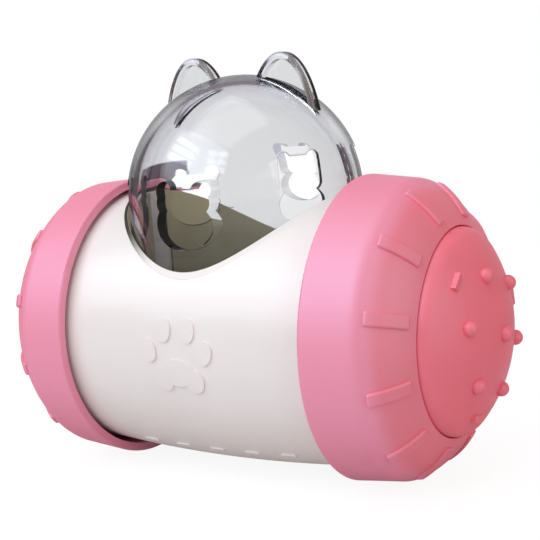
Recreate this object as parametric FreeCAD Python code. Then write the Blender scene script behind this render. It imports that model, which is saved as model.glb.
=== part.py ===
import FreeCAD, Part
import math
import os

# A tumbler treat toy. X runs along the wheels' axle, the paw print faces -Y, and Z is up.
# The origin is on the ground, midway between the wheels. All sizes are in millimetres.
# Heights named "level" count from the axle, and sideways places named "out" count from a wheel's inner face.

# Wheels
wheel_radius = 44.0
wheel_inner_face = 40.0
rim_wall = 2.6
rim_edge_round = 0.5
tread_end_out = 15.2
tread_end_radius = 42.6
tread_end_round = 6.0
shoulder_end_out = 27.2
shoulder_end_radius = 29.6
shoulder_bulge = 1.5
pocket_radius = 29.35
web_outer_out = 25.0
web_thickness = 2.4
web_meets_shoulder_share = 0.68
hub_tube_out = 10.6
hub_tube_end_out = 23.6
hub_tube_radius = 9.0
washer_recess_radius = 8.6
gusset_count = 6
gusset_thickness = 1.6
gusset_start_out = 13.0

# Ribs on the wheels' shoulders
rib_count = 12
rib_width = 3.9
rib_height = 0.9
rib_depth = 1.6
rib_start_share = 0.15
rib_end_share = 0.85
rib_round = 0.6
first_rib_degrees = 16.0

# Hub caps
cap_radius = 29.1
cap_skirt = 4.3
cap_dome_height = 10.5
cap_shoulder_round = 5.0
cap_wall = 2.2
bump_radius = 2.2
bump_ring_radius = 17.0
bump_stand_off = 0.2
bumps_in_ring = 6
snap_count = 3
snap_radius = 23.5
snap_thickness = 2.0
snap_width = 5.0
snap_barb = 1.1
snap_end_out = 21.0
snap_clearance = 0.3
snap_play = 0.1
snap_root_share = 0.46

# Drum
drum_radius = 41.65
drum_half_length = 46.0
drum_drop_per_square = 1.46 / 36.0**2
drum_wall = 2.4
dome_hole_radius = 37.05
neck_outer_radius = 39.7
neck_bottom_level = 3.0

# Raised paw print and pads on the drum
relief_height = 0.5
paw_pad_half_width = 5.6
paw_pad_half_height = 4.0
paw_pad_level = -6.6
paw_lobe_half_width = 3.1
paw_lobe_half_height = 3.5
paw_lobe_side = 5.1
paw_lobe_level = -8.7
inner_toe_side = 4.0
inner_toe_level = 5.6
outer_toe_side = 9.4
outer_toe_level = -0.4
toe_half_width = 2.4
toe_half_height = 3.4
outer_toe_tilt = 14.0
pad_spacing = 12.0
pads_each_side = 2
pad_length = 5.0
pad_width = 1.6
pad_height = 0.4
pad_degrees_from_bottom = 37.0

# Dome
dome_radius = 35.6
dome_wall = 2.8
dome_centre_level = 38.5
skirt_bottom_level = 3.0

# Ears on the dome: each outline is the top of a tall ellipse that stands mostly inside the dome
ear_side = 13.8
ear_level = 6.3
ear_half_width = 13.6
ear_half_height = 35.05
ear_lean = 3.0
ear_reach_degrees = 80.0
ear_thickness = 4.8
ear_wall = 1.3
ear_rim_wall = 2.0
ear_round = 1.2

# Treat holes: each is cut straight in along its own direction, to one side of the dome's middle
large_hole_degrees = (-140.0, -80.0, -20.0)
small_hole_degrees = (40.0, 100.0, 160.0)
large_hole_side = 12.75
small_hole_side = 11.0
large_head = (8.1, 3.6, 1.6, 3.5)
large_body = (8.6, 7.1, -4.6)
large_ear = (5.7, 4.9, 2.7)
small_head = (6.25, 4.8, 7.7, 2.0)
small_body = (6.65, 5.2, -0.6)
small_ear = (4.25, 11.7, 1.95)

# Twist lock: two lugs on the skirt, each with an upright entry and a level groove in the neck
lock_degrees = 40.0
lug_half_degrees = 7.8
lug_radius = 37.7
lug_bottom_level = 6.5
lug_height = 2.5
groove_radius = 38.0
groove_floor_gap = 0.1
groove_roof_gap = 0.3
groove_half_degrees = 8.6

# Seal ring round the skirt
ring_bottom_level = 4.0
ring_height = 1.2
ring_inner_radius = 34.75
ring_outer_radius = 35.9
ring_seat_depth = 0.9
ring_seat_height = 1.4

# Food bowl, with a thin liner above it that lines the drum's neck up to its skin
bowl_radius = 35.4
bowl_wall = 2.0
bowl_rim_level = 2.5
bowl_rim_thickness = 1.5
liner_radius = 37.0
liner_wall = 1.0
bowl_bottom_level = -16.0
bowl_corner_round = 3.0
bowl_screw_x = 16.0
bowl_screw_y = 24.0

# Counterweight and its cover
weight_half_length = 22.0
weight_half_width = 20.0
weight_arc_radius = 37.6
weight_top_level = -22.4
weight_chamfer = 1.0
saddle_x = 14.0
saddle_thickness = 2.0
saddle_half_width = 18.0
cover_half_length = 32.0
cover_half_width = 19.5
cover_bottom_level = -22.2
cover_thickness = 2.0
cover_screw_x = 27.0
cover_corner_round = 5.0

# End caps, stub axles and what runs on them
end_cap_radius = 39.0
end_cap_thickness = 2.4
spigot_length = 3.0
spigot_radius = 36.7
spigot_wall = 2.0
shoulder_boss_radius = 8.0
shoulder_boss_length = 1.0
stub_radius = 5.0
stub_end = 64.0
stub_pilot_start = 52.0
bush_bore_radius = 5.05
bush_sleeve_radius = 6.48
bush_flange_radius = 8.0
bush_flange_start = 49.5
bush_flange_thickness = 1.0
bush_end = 63.8
washer_radius = 8.0
washer_hole_radius = 1.6
washer_thickness = 1.0

# Screws and the posts that take them
post_radius = 3.2
pilot_radius = 1.4
shank_radius = 1.35
clearance_hole_radius = 1.7
end_post_circle = 34.6
end_post_degrees = (30.0, 150.0, 270.0)
end_post_start = 38.2
end_post_gap = 0.1
end_pilot_start = 39.5
small_head_radius = 2.8
small_head_height = 1.4
axle_head_radius = 3.4
axle_head_height = 2.2
cross_width = 0.7
cross_depth = 0.8

# Values worked out from those above
axle_z = wheel_radius
far = 200.0
up = FreeCAD.Vector(0, 0, 1)
along = FreeCAD.Vector(1, 0, 0)
web_inner_out = web_outer_out - web_thickness
cap_base_x = wheel_inner_face + web_outer_out


def vector(x, y, z):
    return FreeCAD.Vector(x, y, z)


def box(x0, x1, y0, y1, z0, z1):
    return Part.makeBox(x1 - x0, y1 - y0, z1 - z0, vector(x0, y0, z0))


def upright(radius, low, high, x=0.0, y=0.0):
    return Part.makeCylinder(radius, high - low, vector(x, y, axle_z + low), up)


def lengthwise(radius, start, end, y=0.0, z=0.0):
    return Part.makeCylinder(radius, end - start, vector(start, y, axle_z + z), along)


def fused(first, *others):
    solid = first
    for other in others:
        solid = solid.fuse(other)
    return solid.removeSplitter()


def mirrored(shape):
    return shape.mirror(vector(0, 0, 0), along)


def side_point(x, radius):
    return vector(x, 0, axle_z + radius)


def line(start, end):
    return Part.LineSegment(side_point(*start), side_point(*end)).toShape()


def arc(start, middle, end):
    return Part.Arc(side_point(*start), side_point(*middle), side_point(*end)).toShape()


def lines(points):
    return [line(start, end) for start, end in zip(points, points[1:])]


def turned(edges):
    face = Part.Face(Part.Wire(edges))
    return face.revolve(vector(0, 0, axle_z), along, 360)


def rounded(shape, radius, wanted):
    edges = [edge for edge in shape.Edges if wanted(edge)]
    return shape.makeFillet(radius, edges)


def is_circle(edge, x, radius):
    if edge.Degenerated or not hasattr(edge.Curve, "Radius"):
        return False
    curve = edge.Curve
    return abs(curve.Center.x - x) < 0.01 and abs(curve.Radius - radius) < 0.01


def rim_place(degrees, radius):
    angle = math.radians(degrees)
    return -radius * math.cos(angle), radius * math.sin(angle)


def about_axle(shape, degrees):
    return shape.rotated(vector(0, 0, axle_z), along, -degrees)


# Screws point down, with the head's seat at the origin

def screw(head_radius, head_height, length):
    head = Part.makeCylinder(head_radius, head_height)
    head = rounded(head, head_height * 0.45, lambda edge: is_top_circle(edge, head_height))
    for width, depth in ((head_radius * 1.1, cross_width), (cross_width, head_radius * 1.1)):
        slot = Part.makeBox(width, depth, cross_depth, vector(-width / 2, -depth / 2, head_height - cross_depth))
        head = head.cut(slot)
    shank = Part.makeCylinder(shank_radius, length - shank_radius, vector(0, 0, shank_radius - length))
    tip = Part.makeCone(0.3, shank_radius, shank_radius, vector(0, 0, -length))
    return fused(head, shank, tip)


def is_top_circle(edge, height):
    box_of_edge = edge.BoundBox
    return abs(box_of_edge.ZMin - height) < 0.001 and abs(box_of_edge.ZMax - height) < 0.001


def placed(shape, position, direction):
    copy = shape.copy()
    copy.Placement = FreeCAD.Placement(position, FreeCAD.Rotation(up, direction))
    return copy


# Drum

def barrel(middle_radius, half_length):
    end_radius = middle_radius - drum_drop_per_square * half_length**2
    left = (-half_length, end_radius)
    right = (half_length, end_radius)
    side = arc(left, (0, middle_radius), right)
    return turned([side] + lines([right, (half_length, 0), (-half_length, 0), left]))


def end_post_places():
    places = []
    for degrees in end_post_degrees:
        angle = math.radians(degrees)
        places.append((end_post_circle * math.cos(angle), end_post_circle * math.sin(angle)))
    return places


def bowl_screw_places():
    return [(x, y) for x in (-bowl_screw_x, bowl_screw_x) for y in (-bowl_screw_y, bowl_screw_y)]


def neck_sector(radius, low, high, centre_degrees, before, after):
    sector = Part.makeCylinder(radius, high - low, vector(0, 0, axle_z + low), up, before + after)
    return sector.rotated(vector(0, 0, 0), up, centre_degrees - before)


def lock_grooves():
    low = lug_bottom_level - groove_floor_gap
    high = lug_bottom_level + lug_height + groove_roof_gap
    cuts = []
    for centre in (0.0, 180.0):
        half = groove_half_degrees
        cuts.append(neck_sector(groove_radius, low, drum_radius + 1, centre, half, half))
        cuts.append(neck_sector(groove_radius, low, high, centre, half + lock_degrees, half))
    return cuts


def ellipse_prism(side, level, half_width, half_height, tilt=0.0):
    major = max(half_width, half_height)
    minor = min(half_width, half_height)
    curve = Part.Ellipse(vector(0, 0, 0), major, minor)
    face = Part.Face(Part.Wire(curve.toShape()))
    if half_height > half_width:
        face = face.rotated(vector(0, 0, 0), up, 90)
    face = face.rotated(vector(0, 0, 0), up, tilt)
    face = face.rotated(vector(0, 0, 0), along, 90)
    face.translate(vector(side, 0, axle_z + level))
    return face.extrude(vector(0, -far, 0))


def paw_relief():
    shapes = [ellipse_prism(0, paw_pad_level, paw_pad_half_width, paw_pad_half_height)]
    for sign in (-1, 1):
        lobe = ellipse_prism(sign * paw_lobe_side, paw_lobe_level, paw_lobe_half_width, paw_lobe_half_height)
        inner = ellipse_prism(sign * inner_toe_side, inner_toe_level, toe_half_width, toe_half_height)
        tilt = -sign * outer_toe_tilt
        outer = ellipse_prism(sign * outer_toe_side, outer_toe_level, toe_half_width, toe_half_height, tilt)
        shapes += [lobe, inner, outer]
    prism = shapes[0]
    for shape in shapes[1:]:
        prism = prism.fuse(shape)
    return on_drum(prism, relief_height)


def on_drum(prism, height):
    skin = barrel(drum_radius + height, drum_half_length).cut(barrel(drum_radius - drum_wall / 2, drum_half_length + 1))
    return skin.common(prism)


def low_pad(x, side):
    length = pad_length - pad_width
    bar = box(x - length / 2, x + length / 2, -pad_width / 2, pad_width / 2, 0, drum_radius * 1.2)
    for end in (-length / 2, length / 2):
        bar = bar.fuse(Part.makeCylinder(pad_width / 2, drum_radius * 1.2, vector(x + end, 0, 0), up))
    bar = bar.rotated(vector(0, 0, 0), along, 180 - side * pad_degrees_from_bottom)
    bar.translate(vector(0, 0, axle_z))
    return on_drum(bar, pad_height)


def drum_shell():
    outer = barrel(drum_radius, drum_half_length)
    inner = barrel(drum_radius - drum_wall, drum_half_length + 1)
    shell = outer.cut(inner)
    neck = upright(neck_outer_radius, neck_bottom_level, far).common(outer)
    inside = [neck]
    for y, z in end_post_places():
        for sign in (-1, 1):
            start, end = sorted((sign * end_post_start, sign * (drum_half_length - end_post_gap)))
            inside.append(lengthwise(post_radius, start, end, y, z))
    well_inside = barrel(drum_radius - drum_wall / 2, drum_half_length)
    posts = [upright(post_radius, -drum_radius, bowl_bottom_level, x, y) for x, y in bowl_screw_places()]
    posts += [upright(post_radius, -drum_radius, cover_bottom_level, x, 0) for x in (-cover_screw_x, cover_screw_x)]
    for x in (-saddle_x, saddle_x):
        half = saddle_thickness / 2
        rib = box(x - half, x + half, -saddle_half_width, saddle_half_width, 0, axle_z + weight_top_level)
        posts.append(rib.cut(lengthwise(weight_arc_radius + 0.1, -far, far)))
    inside += [post.common(well_inside) for post in posts]
    inside += [paw_relief()]
    for step in range(-pads_each_side, pads_each_side + 1):
        inside += [low_pad(step * pad_spacing, side) for side in (-1, 1)]
    shell = fused(shell, *inside)
    shell = shell.cut(upright(dome_hole_radius, 0, far))
    for groove in lock_grooves():
        shell = shell.cut(groove)
    for y, z in end_post_places():
        shell = shell.cut(lengthwise(pilot_radius, end_pilot_start, drum_half_length, y, z))
        shell = shell.cut(lengthwise(pilot_radius, -drum_half_length, -end_pilot_start, y, z))
    for x, y in bowl_screw_places():
        shell = shell.cut(upright(pilot_radius, bowl_bottom_level - 10, bowl_bottom_level, x, y))
    for x in (-cover_screw_x, cover_screw_x):
        shell = shell.cut(upright(pilot_radius, cover_bottom_level - 10, cover_bottom_level, x, 0))
    return shell


def food_bowl():
    low_z = axle_z + bowl_bottom_level
    cup = upright(bowl_radius, bowl_bottom_level, bowl_rim_level)
    cup = rounded(cup, bowl_corner_round, lambda edge: edge.BoundBox.ZMax < low_z + 0.01)
    hollow = upright(bowl_radius - bowl_wall, bowl_bottom_level + bowl_wall, far)
    floor_z = low_z + bowl_wall
    hollow = rounded(hollow, bowl_corner_round / 2, lambda edge: edge.BoundBox.ZMax < floor_z + 0.01)
    liner = upright(liner_radius, bowl_rim_level - bowl_rim_thickness, far)
    liner = liner.cut(upright(liner_radius - liner_wall, bowl_rim_level, far))
    liner = liner.common(barrel(drum_radius, drum_half_length))
    bowl = cup.fuse(liner).cut(hollow).removeSplitter()
    for groove in lock_grooves():
        bowl = bowl.cut(groove)
    for x, y in bowl_screw_places():
        bowl = bowl.cut(upright(clearance_hole_radius, bowl_bottom_level - 1, bowl_bottom_level + bowl_wall + 1, x, y))
    return bowl


def bowl_screws():
    seat = axle_z + bowl_bottom_level + bowl_wall
    one = screw(small_head_radius, small_head_height, 10)
    return Part.makeCompound([placed(one, vector(x, y, seat), up) for x, y in bowl_screw_places()])


def counterweight():
    half = weight_half_width
    block = box(-weight_half_length, weight_half_length, -half, half, 0, axle_z + weight_top_level)
    block = block.common(lengthwise(weight_arc_radius, -far, far))
    top = axle_z + weight_top_level
    edges = [edge for edge in block.Edges if edge.BoundBox.ZMin > top - 0.01]
    return block.makeChamfer(weight_chamfer, edges)


def weight_cover():
    low = axle_z + cover_bottom_level
    plate = box(
        -cover_half_length, cover_half_length, -cover_half_width, cover_half_width, low, low + cover_thickness
    )
    plate = rounded(plate, cover_corner_round, lambda edge: edge.BoundBox.ZLength > cover_thickness * 0.9)
    for x in (-cover_screw_x, cover_screw_x):
        plate = plate.cut(upright(clearance_hole_radius, cover_bottom_level - 1, 0, x, 0))
    return plate


def weight_screws():
    seat = axle_z + cover_bottom_level + cover_thickness
    one = screw(small_head_radius, small_head_height, 9)
    return Part.makeCompound([placed(one, vector(x, 0, seat), up) for x in (-cover_screw_x, cover_screw_x)])


# End caps and axles, built for the +X side

def end_cap():
    disc_end = drum_half_length + end_cap_thickness
    disc = lengthwise(end_cap_radius, drum_half_length, disc_end)
    disc = rounded(disc, 0.6, lambda edge: is_circle(edge, disc_end, end_cap_radius))
    spigot = lengthwise(spigot_radius, drum_half_length - spigot_length, drum_half_length)
    spigot = spigot.cut(lengthwise(spigot_radius - spigot_wall, 0, far))
    for y, z in end_post_places():
        spigot = spigot.cut(lengthwise(post_radius + 0.6, 0, far, y, z))
    boss_end = disc_end + shoulder_boss_length
    cap = fused(
        disc,
        spigot,
        lengthwise(shoulder_boss_radius, disc_end, boss_end),
        lengthwise(stub_radius, disc_end, stub_end),
    )
    cap = cap.cut(lengthwise(pilot_radius, stub_pilot_start, stub_end))
    for y, z in end_post_places():
        cap = cap.cut(lengthwise(clearance_hole_radius, 0, far, y, z))
        cap = cap.cut(lengthwise(small_head_radius + 0.4, disc_end - small_head_height, far, y, z))
    return cap


def end_cap_screws():
    seat = drum_half_length + end_cap_thickness - small_head_height
    one = screw(small_head_radius, small_head_height, 7)
    return Part.makeCompound([placed(one, vector(seat, y, axle_z + z), along) for y, z in end_post_places()])


def retaining_washer():
    ring = lengthwise(washer_radius, stub_end, stub_end + washer_thickness)
    return ring.cut(lengthwise(washer_hole_radius, 0, far))


def axle_screw():
    seat = stub_end + washer_thickness
    return placed(screw(axle_head_radius, axle_head_height, 11), vector(seat, 0, axle_z), along)


def wheel_bush():
    flange_end = bush_flange_start + bush_flange_thickness
    flange = lengthwise(bush_flange_radius, bush_flange_start, flange_end)
    sleeve = lengthwise(bush_sleeve_radius, bush_flange_start, bush_end)
    return fused(flange, sleeve).cut(lengthwise(bush_bore_radius, 0, far))


# Wheels, built for the +X side

def shoulder_centre_and_radius():
    start = (tread_end_out, tread_end_radius)
    end = (shoulder_end_out, shoulder_end_radius)
    run = end[0] - start[0]
    rise = end[1] - start[1]
    chord = math.hypot(run, rise)
    radius = chord**2 / 8 / shoulder_bulge + shoulder_bulge / 2
    back = radius - shoulder_bulge
    middle = ((start[0] + end[0]) / 2, (start[1] + end[1]) / 2)
    return (middle[0] + back * rise / chord, middle[1] - back * run / chord), radius


def shoulder_point(share, lift=0.0):
    centre, radius = shoulder_centre_and_radius()
    first = math.atan2(tread_end_radius - centre[1], tread_end_out - centre[0])
    last = math.atan2(shoulder_end_radius - centre[1], shoulder_end_out - centre[0])
    angle = first + share * (last - first)
    reach = radius + lift
    return wheel_inner_face + centre[0] + reach * math.cos(angle), centre[1] + reach * math.sin(angle)


def wheel_ribs():
    low_start = shoulder_point(rib_start_share, -rib_depth)
    low_end = shoulder_point(rib_end_share, -rib_depth)
    middle = (rib_start_share + rib_end_share) / 2
    high_start = shoulder_point(rib_start_share, rib_height)
    high_end = shoulder_point(rib_end_share, rib_height)
    edges = lines([low_end, low_start, high_start])
    edges.append(arc(high_start, shoulder_point(middle, rib_height), high_end))
    edges.append(line(high_end, low_end))
    ring = turned(edges)
    slab = box(0, far, -far, 0, axle_z - rib_width / 2, axle_z + rib_width / 2)
    rib = ring.common(slab)
    rib = rib.makeFillet(rib_round, rib.Edges)
    return [about_axle(rib, first_rib_degrees + step * 360 / rib_count) for step in range(rib_count)]


def wheel_outline():
    face = wheel_inner_face
    rim_inside = wheel_radius - rim_wall
    tread_end = (face + tread_end_out, tread_end_radius)
    shoulder_end = (face + shoulder_end_out, shoulder_end_radius)
    edges = lines([(face, rim_inside), (face, wheel_radius), tread_end])
    edges.append(arc(tread_end, shoulder_point(0.5), shoulder_end))
    inner_shoulder = shoulder_point(web_meets_shoulder_share, -rim_wall)
    edges += lines([
        shoulder_end,
        (face + shoulder_end_out - 0.4, pocket_radius),
        (face + web_outer_out, pocket_radius),
        (face + web_outer_out, washer_recess_radius),
        (face + hub_tube_end_out, washer_recess_radius),
        (face + hub_tube_end_out, bush_sleeve_radius + 0.02),
        (face + hub_tube_out, bush_sleeve_radius + 0.02),
        (face + hub_tube_out, hub_tube_radius),
        (face + web_inner_out, hub_tube_radius),
        (face + web_inner_out, inner_shoulder[1]),
    ])
    inner_tread = shoulder_point(0.0, -rim_wall)
    edges.append(line((face + web_inner_out, inner_shoulder[1]), inner_tread))
    edges.append(line(inner_tread, (face, rim_inside)))
    return edges


def snap_places():
    return [first_rib_degrees + 30 + step * 360 / snap_count for step in range(snap_count)]


def radial_block(start, end, inner, outer, width, degrees):
    block = box(start, end, -outer, -inner, axle_z - width / 2, axle_z + width / 2)
    return about_axle(block, degrees)


def wheel_shell():
    face = wheel_inner_face
    shell = turned(wheel_outline())
    shell = rounded(shell, rim_edge_round, lambda edge: is_circle(edge, face, wheel_radius))
    shell = rounded(shell, tread_end_round, lambda edge: is_circle(edge, face + tread_end_out, tread_end_radius))
    gussets = []
    inner_limit = turned(lines([
        (face + gusset_start_out, 0),
        (face + gusset_start_out, wheel_radius - rim_wall),
        (face + web_inner_out + 1, shoulder_point(web_meets_shoulder_share, -rim_wall / 2)[1]),
        (face + web_inner_out + 1, 0),
        (face + gusset_start_out, 0),
    ]))
    for step in range(gusset_count):
        degrees = first_rib_degrees + step * 360 / gusset_count
        block = radial_block(face, far, hub_tube_radius - 1, wheel_radius, gusset_thickness, degrees)
        gussets.append(block.common(inner_limit))
    shell = fused(shell, *wheel_ribs(), *gussets)
    slack = snap_clearance
    for degrees in snap_places():
        half = snap_thickness / 2 + slack
        outer = snap_radius + half + snap_barb
        slot = radial_block(face, far, snap_radius - half, outer, snap_width + 2 * slack, degrees)
        shell = shell.cut(slot)
    return shell


def cap_sphere_radius(radius, height):
    return (radius**2 + height**2) / (2 * height)


def puffy_body(radius, height, start, corner):
    skirt_end = cap_base_x + cap_skirt
    nose = skirt_end + height
    sphere = cap_sphere_radius(radius, height)
    half_out = radius / 2
    half_x = nose - sphere + math.sqrt(sphere**2 - half_out**2)
    dome = arc((skirt_end, radius), (half_x, half_out), (nose, 0))
    body = turned([dome] + lines([(nose, 0), (start, 0), (start, radius), (skirt_end, radius)]))
    return rounded(body, corner, lambda edge: is_circle(edge, skirt_end, radius))


def bump(radius_out, degrees):
    sphere = cap_sphere_radius(cap_radius, cap_dome_height)
    height = math.sqrt(sphere**2 - radius_out**2)
    y, z = rim_place(degrees, radius_out)
    normal = vector(height, y, z).normalize()
    middle = vector(cap_base_x + cap_skirt + cap_dome_height - sphere, 0, axle_z)
    return Part.makeSphere(bump_radius, middle + normal * (sphere + bump_stand_off), normal)


def hub_cap():
    cap = puffy_body(cap_radius, cap_dome_height, cap_base_x, cap_shoulder_round)
    inner_round = cap_shoulder_round - cap_wall
    cap = cap.cut(puffy_body(cap_radius - cap_wall, cap_dome_height - cap_wall, cap_base_x - 1, inner_round))
    pieces = [bump(0.0, 0.0)]
    for step in range(bumps_in_ring):
        pieces.append(bump(bump_ring_radius, first_rib_degrees + step * 360 / bumps_in_ring))
    leg_start = wheel_inner_face + snap_end_out
    leg_end = cap_base_x + cap_skirt + cap_dome_height * snap_root_share
    half = snap_thickness / 2
    barb_end = wheel_inner_face + web_inner_out - snap_play
    for degrees in snap_places():
        pieces.append(radial_block(leg_start, leg_end, snap_radius - half, snap_radius + half, snap_width, degrees))
        outer = snap_radius + half + snap_barb
        pieces.append(radial_block(leg_start, barb_end, snap_radius, outer, snap_width, degrees))
    return fused(cap, *pieces)


# Dome and its ring

def dome_body(radius, low_level):
    skirt = upright(radius, low_level, dome_centre_level)
    top = Part.makeSphere(radius, vector(0, 0, axle_z + dome_centre_level))
    top = top.common(box(-far, far, -far, far, axle_z + dome_centre_level, far))
    return fused(skirt, top)


def ear_lobe(sign, inset, thickness):
    curve = Part.Ellipse(vector(0, 0, 0), ear_half_height - inset, ear_half_width - inset)
    reach = math.radians(ear_reach_degrees)
    edge = Part.ArcOfEllipse(curve, -reach, reach).toShape()
    start, end = [vertex.Point for vertex in edge.Vertexes]
    face = Part.Face(Part.Wire([edge, Part.LineSegment(end, start).toShape()]))
    face = face.rotated(vector(0, 0, 0), up, 90 - sign * ear_lean)
    face = face.rotated(vector(0, 0, 0), along, 90)
    face.translate(vector(sign * ear_side, thickness / 2, axle_z + dome_centre_level + ear_level))
    return face.extrude(vector(0, -thickness, 0))


def ear_solid(sign):
    lobe = ear_lobe(sign, 0.0, ear_thickness)
    return rounded(lobe, ear_round, lambda edge: isinstance(edge.Curve, Part.Ellipse))


def ear_hollow(sign):
    return ear_lobe(sign, ear_rim_wall, ear_thickness - 2 * ear_wall)


def rounded_prism(side, level, half_width, half_height, corner):
    low = axle_z + level - half_height
    high = axle_z + level + half_height
    block = box(side - half_width, side + half_width, -far, 0, low, high)
    return rounded(block, corner, lambda edge: edge.BoundBox.YLength > far / 2)


def bear_prism(side, head, body, ear):
    shapes = [
        rounded_prism(side, dome_centre_level + head[2], head[0], head[1], head[3]),
        ellipse_prism(side, dome_centre_level + body[2], body[0], body[1]),
    ]
    for sign in (-1, 1):
        centre = vector(side + sign * ear[0], 0, axle_z + dome_centre_level + ear[1])
        shapes.append(Part.makeCylinder(ear[2], far, centre, vector(0, -1, 0)))
    prism = shapes[0]
    for shape in shapes[1:]:
        prism = prism.fuse(shape)
    return prism


def treat_holes():
    holes = []
    for degrees_list, outline in (
        (large_hole_degrees, bear_prism(large_hole_side, large_head, large_body, large_ear)),
        (small_hole_degrees, bear_prism(small_hole_side, small_head, small_body, small_ear)),
    ):
        holes += [outline.rotated(vector(0, 0, 0), up, degrees) for degrees in degrees_list]
    return holes


def dome_shell():
    shell = fused(dome_body(dome_radius, skirt_bottom_level), ear_solid(-1), ear_solid(1))
    shell = shell.cut(dome_body(dome_radius - dome_wall, skirt_bottom_level - 1))
    for sign in (-1, 1):
        shell = shell.cut(ear_hollow(sign))
    lugs = []
    for centre in (0.0, 180.0):
        half = lug_half_degrees
        lug = neck_sector(lug_radius, lug_bottom_level, lug_bottom_level + lug_height, centre, half, half)
        lugs.append(lug.cut(upright(dome_radius - dome_wall / 2, 0, far)))
    shell = fused(shell, *lugs)
    seat = upright(dome_radius + 1, ring_bottom_level - 0.1, ring_bottom_level - 0.1 + ring_seat_height)
    seat = seat.cut(upright(dome_radius - ring_seat_depth, 0, far))
    shell = shell.cut(seat)
    for hole in treat_holes():
        shell = shell.cut(hole)
    return shell


def dome_seal_ring():
    ring = upright(ring_outer_radius, ring_bottom_level, ring_bottom_level + ring_height)
    ring = ring.makeFillet(ring_height * 0.4, [edge for edge in ring.Edges if edge.BoundBox.ZLength < 0.01])
    return ring.cut(upright(ring_inner_radius, 0, far))


def save(name, shape):
    shape.exportStep("parts/" + name + ".step")


os.makedirs("parts", exist_ok=True)

save("drum_shell", drum_shell())
save("food_bowl", food_bowl())
save("bowl_screws", bowl_screws())
save("counterweight", counterweight())
save("weight_cover", weight_cover())
save("weight_screws", weight_screws())
save("dome_shell", dome_shell())
save("dome_seal_ring", dome_seal_ring())

for make in (end_cap, end_cap_screws, wheel_bush, retaining_washer, axle_screw, wheel_shell, hub_cap):
    piece = make()
    save("right_" + make.__name__, piece)
    save("left_" + make.__name__, mirrored(piece))
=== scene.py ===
import math

import bpy
from mathutils import Matrix, Vector

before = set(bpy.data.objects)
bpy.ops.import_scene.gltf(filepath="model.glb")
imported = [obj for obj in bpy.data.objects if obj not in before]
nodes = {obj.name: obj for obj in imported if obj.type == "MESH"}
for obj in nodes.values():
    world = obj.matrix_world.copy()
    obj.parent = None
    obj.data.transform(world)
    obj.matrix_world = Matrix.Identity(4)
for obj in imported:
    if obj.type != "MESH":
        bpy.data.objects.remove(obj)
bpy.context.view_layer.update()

print("frame loaded with", len(nodes), "pieces")

alongAxle, alongDepth, upwards = (1, 0, 0), (0, 1, 0), (0, 0, 1)


class Wire:
    # a shader output that can be used in plain sums; each sum adds its own node

    def __init__(self, tree, socket=None):
        self.tree = tree
        self.socket = socket

    def node(self, kind, settings=None, inputs=None, output=0):
        made = self.tree.nodes.new(kind)
        for name, value in (settings or {}).items():
            setattr(made, name, value)
        for name, value in (inputs or {}).items():
            if isinstance(value, Wire):
                self.tree.links.new(value.socket, made.inputs[name])
            else:
                made.inputs[name].default_value = value
        return Wire(self.tree, made.outputs[output])

    def maths(self, operation, *values):
        return self.node("ShaderNodeMath", {"operation": operation}, dict(enumerate(values)))

    def __add__(self, other):
        return self.maths("ADD", self, other)

    def __radd__(self, other):
        return self.maths("ADD", other, self)

    def __sub__(self, other):
        return self.maths("SUBTRACT", self, other)

    def __rsub__(self, other):
        return self.maths("SUBTRACT", other, self)

    def __mul__(self, other):
        return self.maths("MULTIPLY", self, other)

    def __rmul__(self, other):
        return self.maths("MULTIPLY", other, self)

    def __truediv__(self, other):
        return self.maths("DIVIDE", self, other)

    def __rtruediv__(self, other):
        return self.maths("DIVIDE", other, self)

    def size(self):
        return self.maths("ABSOLUTE", self)

    def either(self, other):
        return self.maths("MAXIMUM", self, other)

    def vectors(self, operation, other, output):
        settings = {"operation": operation}
        return self.node("ShaderNodeVectorMath", settings, {0: self, 1: other}, output)

    def dot(self, axis):
        return self.vectors("DOT_PRODUCT", axis, "Value")

    def distance(self, point):
        return self.vectors("DISTANCE", point, "Value")

    def outFrom(self, point):
        return self.vectors("SUBTRACT", point, "Vector")

    def flat(self):
        return self.vectors("MULTIPLY", (1, 1, 0), "Vector")

    def noise(self, scale, detail, roughness=0.5):
        values = {"Vector": self, "Scale": scale, "Detail": detail, "Roughness": roughness}
        return self.node("ShaderNodeTexNoise", None, values, "Fac")

    def between(self, low, high):
        # 0 up to low, 1 from high on, and a soft rise between them
        values = {"Value": self, "From Min": low, "From Max": high}
        return self.node("ShaderNodeMapRange", {"interpolation_type": "SMOOTHSTEP"}, values)

    def blend(self, first, second):
        values = {"Factor": self, "A": colourOf(first), "B": colourOf(second)}
        return self.node("ShaderNodeMix", {"data_type": "RGBA"}, values, "Result")

    def mixShaders(self, first, second):
        return self.node("ShaderNodeMixShader", None, {0: self, 1: first, 2: second}, "Shader")

    def plainShader(self, kind, colour):
        return self.node(kind, None, {"Color": colourOf(colour)})


def colourOf(value):
    return value if isinstance(value, Wire) else (*value, 1)


def plug(node, name, wire):
    wire.tree.links.new(wire.socket, node.inputs[name])


def newMaterial(name, settings):
    # a Principled material with its fixed values set on its own sockets
    material = bpy.data.materials.new(name)
    material.use_nodes = True
    tree = material.node_tree
    shader = tree.nodes["Principled BSDF"]
    for key, value in settings.items():
        shader.inputs[key].default_value = value
    place = Wire(tree).node("ShaderNodeTexCoord", output="Object")
    return material, shader, place


def stageMaterial(name):
    # an empty material for a piece of the stage: only its output is left
    material = bpy.data.materials.new(name)
    material.use_nodes = True
    tree = material.node_tree
    tree.nodes.remove(tree.nodes["Principled BSDF"])
    return material, tree.nodes["Material Output"], Wire(tree)


def rayKinds(start):
    # masks for what is seen directly, in gloss and through clear plastic
    kinds = ("Is Camera Ray", "Is Glossy Ray", "Is Transmission Ray")
    return [start.node("ShaderNodeLightPath", output=kind) for kind in kinds]


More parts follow.
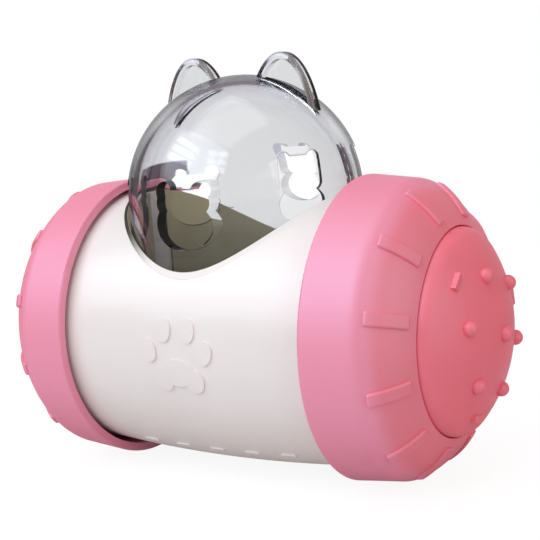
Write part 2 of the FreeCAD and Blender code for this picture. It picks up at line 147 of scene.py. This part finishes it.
def addSkin(shader, place, skin):
    # soft clouds and a fine grain stir the roughness and raise the surface a little,
    # and the clouds come back as a mask for two tones of colour
    clouds = place.noise(*skin["clouds"])
    grain = place.noise(*skin["grain"])
    stirred = skin["roughness"] + (clouds - 0.5) * skin["cloudSheen"]
    plug(shader, "Roughness", stirred + (grain - 0.5) * skin["grainSheen"])
    raised = clouds * skin["cloudRise"] + grain * skin["grainRise"]
    values = {"Height": raised, "Distance": skin["depth"], "Strength": skin["strength"]}
    plug(shader, "Normal", raised.node("ShaderNodeBump", None, values))
    return clouds.between(*skin["tones"])


def paint(material, *names):
    for name in names:
        mesh = nodes[name].data
        mesh.materials.clear()
        mesh.materials.append(material)


def direction(azimuth, height):
    # degrees from the front towards the right wheel, and degrees above level
    turn = math.radians(azimuth)
    lift = math.radians(height)
    across = math.cos(lift)
    return Vector((math.sin(turn) * across, -math.cos(turn) * across, math.sin(lift)))


def rightOf(azimuth):
    turn = math.radians(azimuth)
    return Vector((math.cos(turn), math.sin(turn), 0))


camera = {
    "azimuth": 31.87,        # degrees, as in direction
    "height": 9.06,
    "roll": -3.81,
    "eye": (0.19528, -0.30369, 0.11664),
    "lens": 80.27,
    "sensor": 36.0,
    "clipStart": 0.01,
}


def setCamera():
    roll = math.radians(camera["roll"])
    back = direction(camera["azimuth"], camera["height"])
    right = rightOf(camera["azimuth"])
    up = back.cross(right)
    rolledRight = right * math.cos(roll) + up * math.sin(roll)
    rolledUp = up * math.cos(roll) - right * math.sin(roll)
    data = bpy.data.cameras.new("photoCamera")
    data.lens = camera["lens"]
    data.sensor_width = camera["sensor"]
    data.clip_start = camera["clipStart"]
    seen = bpy.data.objects.new("photoCamera", data)
    seen.matrix_world = Matrix((rolledRight, rolledUp, back)).transposed().to_4x4()
    seen.matrix_world.translation = Vector(camera["eye"])
    bpy.context.scene.collection.objects.link(seen)
    bpy.context.scene.camera = seen


setCamera()
print("camera set")

pinkSkin = {    # what the wheels and the hub caps share
    "clouds": (35.0, 3.0),       # scale and detail
    "grain": (2600.0, 2.0),
    "tones": (0.35, 0.65),       # where the clouds turn from the deep tone to the plain one
    "roughness": 0.55,
    "cloudSheen": 0.08,          # how much clouds and grain stir the roughness
    "grainSheen": 0.06,
    "cloudRise": 0.0,            # how much each of them raises the surface
    "grainRise": 1.0,
    "depth": 0.00006,            # metres from its low points to its high ones
    "strength": 0.5,
}

softPink = {
    "colour": (1.0, 0.175, 0.22),
    "deep": (0.95, 0.162, 0.205),
    # painted sheen: the treads get a paler, cooler pink in place of the bluish window light
    # shining on them
    "treadSheen": (1.0, 0.25, 0.355),
    "treadTo": (0.0575, 0.0615),     # metres out along the axle, where the treads and their painted sheen end
    "gloss": 0.8,
    "index": 2.1,
    "bloom": (0.30, 0.76, 1.0),      # the cool bloom in its shine
}

hubPink = {
    "colour": (1.0, 0.158, 0.205),
    "deep": (0.95, 0.145, 0.188),
    "gloss": 0.70,
    "index": 1.95,
    "bloom": (0.36, 0.80, 1.0),
}


def makePink(name, look):
    material, shader, place = newMaterial(name, {
        "Specular IOR Level": look["gloss"],
        "IOR": look["index"],
        "Specular Tint": (*look["bloom"], 1),
    })
    colour = addSkin(shader, place, pinkSkin).blend(look["deep"], look["colour"])
    # painted sheen on the treads, out to where they end
    if "treadSheen" in look:
        faces = place.dot(alongAxle).size().between(*look["treadTo"])
        colour = faces.blend(look["treadSheen"], colour)
    plug(shader, "Base Color", colour)
    return material


glossWhite = {
    "colour": (0.89, 0.86, 0.84),
    "shade": (0.86, 0.82, 0.80),
    "gloss": 0.5,
    "coat": 0.3,
    "coatRoughness": 0.16,
    "clouds": (18.0, 3.0),
    "grain": (900.0, 2.0),
    "tones": (0.3, 0.7),
    "roughness": 0.34,
    "cloudSheen": 0.08,
    "grainSheen": 0.04,
    "cloudRise": 1.0,
    "grainRise": 0.05,
    "depth": 0.0002,
    "strength": 0.3,
}


def makeWhite():
    material, shader, place = newMaterial("glossWhitePlastic", {
        "Coat Weight": glossWhite["coat"],
        "Coat Roughness": glossWhite["coatRoughness"],
        "Specular IOR Level": glossWhite["gloss"],
    })
    tones = addSkin(shader, place, glossWhite)
    plug(shader, "Base Color", tones.blend(glossWhite["shade"], glossWhite["colour"]))
    return material


smokyClear = {
    "middle": (0, 0, 0.0825),         # the middle of the dome's ball
    "index": 1.49,
    "gloss": 0.45,
    "roughness": 0.02,
    "wisps": (60.0, 3.0),             # scale and detail of faint marks in its polish
    "wispSheen": 0.01,
    "smoke": (0.33, 0.36, 0.44),
    "density": 62.0,                  # per metre of plastic
    "ears": (0.94, 0.945, 0.945),     # the ears are a little darker
    "earFrom": (0.0358, 0.0362),      # metres from the middle
    "edgeOnShade": (0.40, 0.39, 0.41),        # painted shade where the wall is seen edge on, in place of the dark surroundings that refraction shows there
    "edgeOnShadeFrom": (0.58, 0.84),          # 0 is seen square on, 1 is seen edge on
    "outerSkin": (0.0340, 0.0350),    # metres from the middle
    # painted shade: a dark outline mixed over the glass where its outer skin is seen edge on
    "outline": (0.05, 0.042, 0.046),
    "outlineShare": 0.55,
    "holeSideShade": (0.02, 0.02, 0.018),   # painted shade on the sides of the treat holes
    "holeSideShadeShare": 0.88,
    "cutFrom": (0.068, 0.069),        # heights that the dark sides lie between
    "cutTo": (0.099, 0.100),
    "skinFrom": (0.80, 0.95),         # 0 is a wall across the skin, 1 is the skin
    "frontHoleTo": (0.002, 0.005),    # metres along the axle: painted shade left of this,
    "rightHoleFrom": (0.031, 0.032),  # painted shade again right of this, clear between
    "behindFrom": (-0.002, 0.002),    # metres in depth, past which the sides get less painted shade
    "behindLess": 0.75,
}


def facingOut(place, reach):
    # 1 on the dome's round skins, 0 on the walls that cross them
    normal = place.node("ShaderNodeTexCoord", output="Normal")
    along = normal.dot(place.outFrom(smokyClear["middle"])) / reach
    return along.size()


def holeSides(place, reach, ears):
    # where the sides of the treat holes are, and which of them get painted shade
    across = place.dot(alongAxle)
    rise = place.dot(upwards)
    skin = facingOut(place, reach).between(*smokyClear["skinFrom"])
    band = rise.between(*smokyClear["cutFrom"]) * (1 - rise.between(*smokyClear["cutTo"]))
    behind = place.dot(alongDepth).between(*smokyClear["behindFrom"])
    left = 1 - across.between(*smokyClear["frontHoleTo"])
    right = across.between(*smokyClear["rightHoleFrom"])
    shown = (left + right) * (1 - behind * smokyClear["behindLess"])
    return (1 - skin) * (1 - ears) * band, shown


def makeSmoky():
    material, shader, place = newMaterial("smokyClearPlastic", {
        "Transmission Weight": 1.0,
        "IOR": smokyClear["index"],
        "Specular IOR Level": smokyClear["gloss"],
    })
    end = material.node_tree.nodes["Material Output"]
    reach = place.distance(smokyClear["middle"])
    ears = reach.between(*smokyClear["earFrom"])
    facing = place.node("ShaderNodeLayerWeight", output="Facing")
    # painted shade along the edges seen edge on: the glass turns dark there
    edgeOn = facing.between(*smokyClear["edgeOnShadeFrom"]) * reach.between(*smokyClear["outerSkin"])
    tones = ears.blend((1, 1, 1), smokyClear["ears"])
    plug(shader, "Base Color", edgeOn.blend(tones, smokyClear["edgeOnShade"]))
    wisps = place.noise(*smokyClear["wisps"])
    plug(shader, "Roughness", smokyClear["roughness"] + wisps * smokyClear["wispSheen"])
    plug(end, "Volume", place.node("ShaderNodeVolumeAbsorption", None, {
        "Color": colourOf(smokyClear["smoke"]), "Density": smokyClear["density"],
    }))
    sides, shown = holeSides(place, reach, ears)
    # painted shade for the sides of the treat holes; the rest of their sides turn clear
    dark = place.plainShader("ShaderNodeBsdfDiffuse", smokyClear["holeSideShade"])
    gone = place.plainShader("ShaderNodeBsdfTransparent", (1, 1, 1))
    outline = place.plainShader("ShaderNodeBsdfDiffuse", smokyClear["outline"])
    clear = Wire(place.tree, shader.outputs["BSDF"])
    holes = (sides * smokyClear["holeSideShadeShare"]).mixShaders(clear, shown.mixShaders(gone, dark))
    # the painted outline shade is mixed over the glass where it is seen edge on
    plug(end, "Surface", (edgeOn * smokyClear["outlineShare"]).mixShaders(holes, outline))
    return material


olive = {
    "colour": (0.52, 0.485, 0.33),
    "deep": (0.455, 0.425, 0.29),
    # painted shade: the liner's top edge goes near black at its left, a dark line where the dome
    # meets the drum
    "edge": (0.035, 0.034, 0.022),
    "edgeFrom": (0.03602, 0.03608),     # metres from the upright axis: the liner's top edge
    "edgeLight": (0.86, 0.83, 0.81),    # as pale as the drum, apart from its left side, which is painted shade
    "edgeLightFrom": (-0.026, -0.010),  # metres along the axle
    "gloss": 0.4,
    "clouds": (50.0, 3.0),
    "grain": (2200.0, 2.0),
    "tones": (0.3, 0.7),
    "roughness": 0.5,
    "cloudSheen": 0.0,
    "grainSheen": 0.1,
    "cloudRise": 0.0,
    "grainRise": 1.0,
    "depth": 0.00008,
    "strength": 0.5,
}


def makeOlive():
    material, shader, place = newMaterial("olivePlastic", {"Specular IOR Level": olive["gloss"]})
    walls = addSkin(shader, place, olive).blend(olive["deep"], olive["colour"])
    # the liner's top edge: painted shade at its left, the drum's pale tone further right
    right = place.dot(alongAxle).between(*olive["edgeLightFrom"])
    edge = right.blend(olive["edge"], olive["edgeLight"])
    outward = place.flat().distance((0, 0, 0))
    plug(shader, "Base Color", outward.between(*olive["edgeFrom"]).blend(walls, edge))
    return material


hidden = {    # light and dark tone, roughness, metal, scale of the marks
    "steel": ((0.58, 0.58, 0.57), (0.44, 0.44, 0.43), 0.32, 1.0, 140.0),
    "castIron": ((0.14, 0.14, 0.14), (0.06, 0.055, 0.05), 0.72, 0.6, 320.0),
    "coverPlastic": ((0.64, 0.62, 0.60), (0.56, 0.54, 0.52), 0.5, 0.0, 60.0),
    "acetal": ((0.80, 0.79, 0.75), (0.72, 0.71, 0.67), 0.38, 0.0, 90.0),
    "sealRubber": ((0.56, 0.55, 0.53), (0.46, 0.45, 0.43), 0.7, 0.0, 200.0),
}

hiddenSkin = {    # what all of them share
    "cloudShape": (4.0, 0.6),        # detail and roughness
    "grainTimes": 14,                # how much finer the grain is than the clouds
    "grainDetail": 2.0,
    "tones": (0.35, 0.65),
    "cloudSheen": 0.2,
    "grainSheen": 0.1,
    "cloudRise": 0.3,
    "grainRise": 1.0,
    "depth": 0.00005,
    "strength": 0.6,
}


def makeHidden(name):
    light, dark, roughness, metal, scale = hidden[name]
    material, shader, place = newMaterial(name, {"Metallic": metal})
    skin = {
        **hiddenSkin,
        "roughness": roughness,
        "clouds": (scale, *hiddenSkin["cloudShape"]),
        "grain": (scale * hiddenSkin["grainTimes"], hiddenSkin["grainDetail"]),
    }
    plug(shader, "Base Color", addSkin(shader, place, skin).blend(dark, light))
    return material


def paintFrame():
    paint(makePink("softPinkPlastic", softPink), "left_wheel_shell", "right_wheel_shell")
    paint(makePink("hubPinkPlastic", hubPink), "left_hub_cap", "right_hub_cap")
    paint(makeWhite(), "drum_shell", "left_end_cap", "right_end_cap")
    paint(makeSmoky(), "dome_shell")
    nodes["dome_shell"].visible_shadow = False    # clear plastic lets the lamps' light through
    paint(makeOlive(), "food_bowl")
    fixings = [name for name in nodes if name.endswith(("screw", "screws", "washer"))]
    paint(makeHidden("steel"), *fixings)
    paint(makeHidden("castIron"), "counterweight")
    paint(makeHidden("coverPlastic"), "weight_cover")
    paint(makeHidden("acetal"), "left_wheel_bush", "right_wheel_bush")
    paint(makeHidden("sealRubber"), "dome_seal_ring")


paintFrame()
print("pieces painted")

windows = {
    "aim": (0, 0, 0.07),
    "distance": 1.2,
    "paneGap": 0.035,
    "colour": (0.80, 0.88, 1.0),
    "radiance": 2.6,
    "columns": 2,
    "rows": 3,
    "places": (    # azimuth, height, wide, tall
        (-45.0, 38.5, 0.62, 0.40),
        (1.5, 36.5, 0.42, 0.46),
    ),
}


def addLamp(name, place, target, size, radiance, colour):
    data = bpy.data.lights.new(name, "AREA")
    data.shape = "RECTANGLE"
    data.size, data.size_y = size
    data.color = colour
    data.energy = radiance * math.pi * size[0] * size[1]
    lamp = bpy.data.objects.new(name, data)
    lamp.matrix_world = (place - target).to_track_quat("Z", "Y").to_matrix().to_4x4()
    lamp.matrix_world.translation = place
    bpy.context.scene.collection.objects.link(lamp)


def addWindows():
    columns, rows = windows["columns"], windows["rows"]
    for number, (azimuth, height, wide, tall) in enumerate(windows["places"]):
        toward = direction(azimuth, height)
        side = Vector(upwards).cross(toward).normalized()
        rise = toward.cross(side)
        middle = Vector(windows["aim"]) + toward * windows["distance"]
        paneWide = wide / columns
        paneTall = tall / rows
        size = (paneWide - windows["paneGap"], paneTall - windows["paneGap"])
        for column in range(columns):
            for row in range(rows):
                across = (column - (columns - 1) / 2) * paneWide
                along = (row - (rows - 1) / 2) * paneTall
                place = middle + side * across + rise * along
                name = "window%d_%d_%d" % (number, column, row)
                addLamp(name, place, place - toward, size, windows["radiance"], windows["colour"])


room = {
    "aim": (0, 0, 0.06),
    "lamps": (    # name, azimuth, height, distance, wide, tall, radiance, colour
        ("skyGlow", -30.0, 34.0, 1.5, 1.7, 1.2, 1.55, (0.90, 0.93, 1.0)),
        ("ceilingSoftbox", -20.0, 78.0, 1.3, 1.1, 1.1, 1.1, (1.0, 0.99, 1.0)),
        ("warmFill", 80.0, 16.0, 1.3, 0.9, 0.9, 1.52, (1.0, 0.90, 0.86)),
    ),
    "facing": 31.87,                 # degrees; the room's front is on this side of the toy
    "behindFrom": (-0.2, 0.2),       # where its front gives way to its back
    "plain": (0.46, 0.44, 0.43),     # the even light on matt surfaces
    "bright": (1.4, 1.6, 1.9),       # what gloss sees in front, high up and to the left
    "brightFrom": (0.12, 0.40),
    "brightTo": (-0.75, -0.25),
    "dim": (0.32, 0.28, 0.27),       # and low, or to the right
    "ceiling": (0.30, 0.26, 0.28),   # the back of the room: high up,
    "ceilingFrom": (0.32, 0.52),
    "darkSide": (0.14, 0.115, 0.125),    # at the left,
    "darkFrom": (0.42, 0.58),
    "farRight": (0.20, 0.17, 0.16),      # and at the right
    "farRightFrom": (0.55, 0.80),
}


def addRoom():
    middle = Vector(room["aim"])
    for name, azimuth, height, distance, wide, tall, radiance, colour in room["lamps"]:
        place = middle + direction(azimuth, height) * distance
        addLamp(name, place, middle, (wide, tall), radiance, colour)
    world = bpy.data.worlds.new("room")
    bpy.context.scene.world = world
    world.use_nodes = True
    start = Wire(world.node_tree)
    seen, glossy, clear = rayKinds(start)
    look = start.node("ShaderNodeTexCoord", output="Generated")
    right = look.dot(rightOf(room["facing"]))
    rise = look.dot(upwards)
    behind = look.dot(-direction(room["facing"], 0)).between(*room["behindFrom"])
    high = rise.between(*room["brightFrom"]) * (1 - right.between(*room["brightTo"]))
    front = high.blend(room["dim"], room["bright"])
    left = (0 - right).between(*room["darkFrom"]) * behind
    above = rise.between(*room["ceilingFrom"]) * behind
    side = right.between(*room["farRightFrom"]).blend((1, 1, 1), room["farRight"])
    back = left.blend(above.blend(side, room["ceiling"]), room["darkSide"])
    wall = behind.blend(glossy.blend((1, 1, 1), front), back)
    lit = glossy.either(clear).blend(room["plain"], wall)
    plug(world.node_tree.nodes["Background"], "Color", seen.blend(lit, (1, 1, 1)))


cardBehind = {    # a dark card far behind, seen only through the clear dome
    "corners": (    # low left, low right, high left, high right
        (-1.32, 0.86, -0.06),
        (-0.8933, 1.1262, -0.0398),
        (-1.32, 0.86, 0.14),
        (-0.8974, 1.1269, 0.0441),
    ),
    "colour": (0.06, 0.016, 0.026),
}


def addCardBehind():
    bpy.ops.object.select_all(action="DESELECT")
    bpy.ops.mesh.primitive_plane_add(size=1.0, location=(0, 0, 0))
    card = bpy.context.object
    card.name = "cardBehind"
    for point, corner in zip(card.data.vertices, cardBehind["corners"]):
        point.co = corner
    card.visible_camera = False
    card.visible_diffuse = False
    card.visible_glossy = False
    card.visible_shadow = False
    material, end, start = stageMaterial("cardBehind")
    plug(end, "Surface", start.plainShader("ShaderNodeEmission", cardBehind["colour"]))
    card.data.materials.append(material)


floorPlan = {
    "radius": 0.42,
    "sides": 96,
    "plain": (0.66, 0.63, 0.61),      # the floor as it is lit
    "own": (0.16, 0.16, 0.16),        # what is seen of it: this with its shadows,
    "glow": 0.9,                      # and a glow that makes it pale
    "near": (0.78, 0.80, 0.95),       # the glow that gloss sees, in front and behind,
    "shadowUnder": (0.36, 0.30, 0.30),      # with a painted shadow below the toy,
    "underTo": (0.030, 0.060),
    "shadeRight": (0.22, 0.17, 0.16),       # and painted shade beyond the right wheel
    "shadeRightFrom": (0.085, 0.13),
}


def addFloor():
    bpy.ops.object.select_all(action="DESELECT")
    bpy.ops.mesh.primitive_circle_add(
        vertices=floorPlan["sides"], radius=floorPlan["radius"],
        fill_type="NGON", location=(0, 0, 0))
    floor = bpy.context.object
    floor.name = "paleFloor"
    material, end, start = stageMaterial("paleFloor")
    seen, glossy, clear = rayKinds(start)
    place = start.node("ShaderNodeTexCoord", output="Object")
    # painted shadow under the toy and painted shade beyond the right wheel, in the glow that
    # gloss sees
    depth = place.dot(alongDepth).size().between(*floorPlan["underTo"])
    near = depth.blend(floorPlan["shadowUnder"], floorPlan["near"])
    beyond = place.dot(alongAxle).between(*floorPlan["shadeRightFrom"]).blend(near, floorPlan["shadeRight"])
    pale = glossy.blend((1, 1, 1), beyond)
    glow = start.node("ShaderNodeEmission", None, {"Color": pale, "Strength": floorPlan["glow"]})
    own = start.plainShader("ShaderNodeBsdfDiffuse", floorPlan["own"])
    bright = start.node("ShaderNodeAddShader", None, {0: own, 1: glow})
    plain = start.plainShader("ShaderNodeBsdfDiffuse", floorPlan["plain"])
    shown = seen.either(glossy).either(clear)
    plug(end, "Surface", shown.mixShaders(plain, bright))
    floor.data.materials.append(material)


addWindows()
addRoom()
addCardBehind()
addFloor()
bpy.context.scene.view_settings.view_transform = "Standard"
print("lights and floor set")
